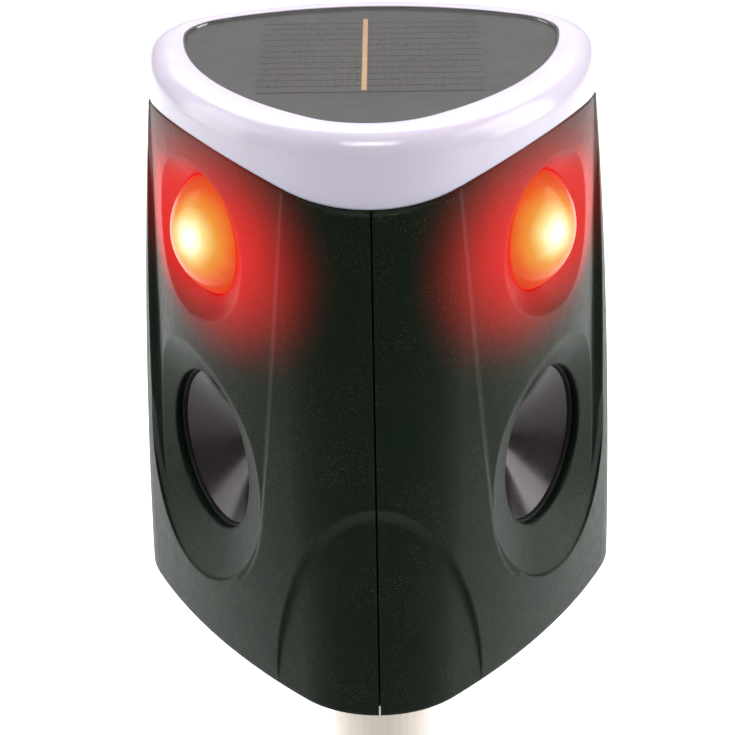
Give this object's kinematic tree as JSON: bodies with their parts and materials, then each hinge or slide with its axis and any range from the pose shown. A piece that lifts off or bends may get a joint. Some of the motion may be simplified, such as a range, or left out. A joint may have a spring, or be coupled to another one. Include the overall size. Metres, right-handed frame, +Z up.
{
  "type": "ultrasonic pest repeller",
  "caption": "Three-sided garden pest repeller: solar panel and lamp ring on top, horn and lit eye on each front face, on a two-section ground stake with a spike.",
  "frame": {"origin": "on the stake's axis at ground level", "axes": "+Z up along the stake, front edge of the head towards -Y, +X to the right seen from the front"},
  "size_m": [0.1502, 0.152, 0.5136],
  "materials": {
    "shell_green": "satin dark green moulded plastic with fine metallic flecks",
    "ring_milky": "milky translucent lamp diffuser, glossy",
    "panel_cover": "clear glossy cover over the solar cells",
    "cell_dark": "dark silicon cell strips",
    "busbar": "tinned copper strip, slightly tarnished",
    "tray_black": "black moulded plastic",
    "seal_black": "soft black seal",
    "circuit_board": "solder-masked board",
    "electronic_parts": "moulded chips and switches",
    "led_clear": "clear moulded LED",
    "battery_wrap": "shrink-wrapped steel can",
    "eye_amber": "glossy amber-red lens, lit from behind",
    "horn_black": "glossy black horn",
    "driver_brass": "spun driver can",
    "pir_white": "milky infrared lens",
    "control_black": "black control knob and button",
    "tube_silver": "satin champagne anodised tube",
    "stake_green": "dark green moulded plastic",
    "screw_steel": "zinc-plated screw",
    "plug_gold": "gold-toned plug metal",
    "cord_black": "soft black cable jacket"
  },
  "bodies": {
    "stake": {"lower_tube": "tube_silver", "ground_spike": "stake_green"},
    "pole": {"upper_tube": "tube_silver", "tube_coupling": "stake_green"},
    "head": {"front_left_shell": "shell_green", "front_right_shell": "shell_green", "rear_shell": "shell_green", "base_plate": "shell_green", "base_screws": "screw_steel", "light_ring": "ring_milky", "ring_seal": "seal_black", "solar_tray": "tray_black", "solar_cells": "cell_dark", "cell_busbar": "busbar", "solar_cover": "panel_cover", "panel_seal": "seal_black", "lamp_board": "circuit_board", "lamp_leds": "led_clear", "main_board": "circuit_board", "board_parts": "electronic_parts", "battery_cell": "battery_wrap", "battery_holder": "tray_black", "pir_lens": "pir_white", "pir_sensor": "electronic_parts", "rotary_switch": "electronic_parts", "tact_switch": "electronic_parts", "status_led": "led_clear", "dc_jack": "electronic_parts", "horn_cone_right": "horn_black", "horn_cone_left": "horn_black", "horn_gasket_right": "seal_black", "horn_gasket_left": "seal_black", "horn_driver_right": "driver_brass", "horn_driver_left": "driver_brass", "eye_lens_right": "eye_amber", "eye_lens_left": "eye_amber", "eye_board_right": "circuit_board", "eye_board_left": "circuit_board", "eye_leds_right": "led_clear", "eye_leds_left": "led_clear"},
    "dial": {"mode_dial": "control_black"},
    "button": {"power_button": "control_black"},
    "cable": {"dc_plug_barrel": "plug_gold", "dc_plug_boot": "cord_black", "cable_lead": "cord_black", "cable_tail": "cord_black", "cable_hank": "cord_black", "twist_tie": "cord_black", "usb_boot": "cord_black", "usb_shell": "plug_gold", "usb_tongue": "tray_black"}
  },
  "joints": [
    {"name": "pole_lift", "type": "slide", "parent": "stake", "child": "pole", "axis": [0, 0, 1], "range_m": [0, 0.037]},
    {"name": "head_swivel", "type": "hinge", "parent": "pole", "child": "head", "pos_m": [0, 0, 0.215], "axis": [0, 0, 1], "continuous": true},
    {"name": "dial_turn", "type": "hinge", "parent": "head", "child": "dial", "pos_m": [-0.017, 0.0604, 0.267], "axis": [0, 1, 0], "range_deg": [-135, 135]},
    {"name": "button_press", "type": "slide", "parent": "head", "child": "button", "axis": [0, -1, 0], "range_m": [0, 0.0012], "stiffness_N_per_m": 800},
    {"name": "cable_unplug", "type": "slide", "parent": "head", "child": "cable", "axis": [0, 0, -1], "range_m": [0, 0.0125]}
  ]
}
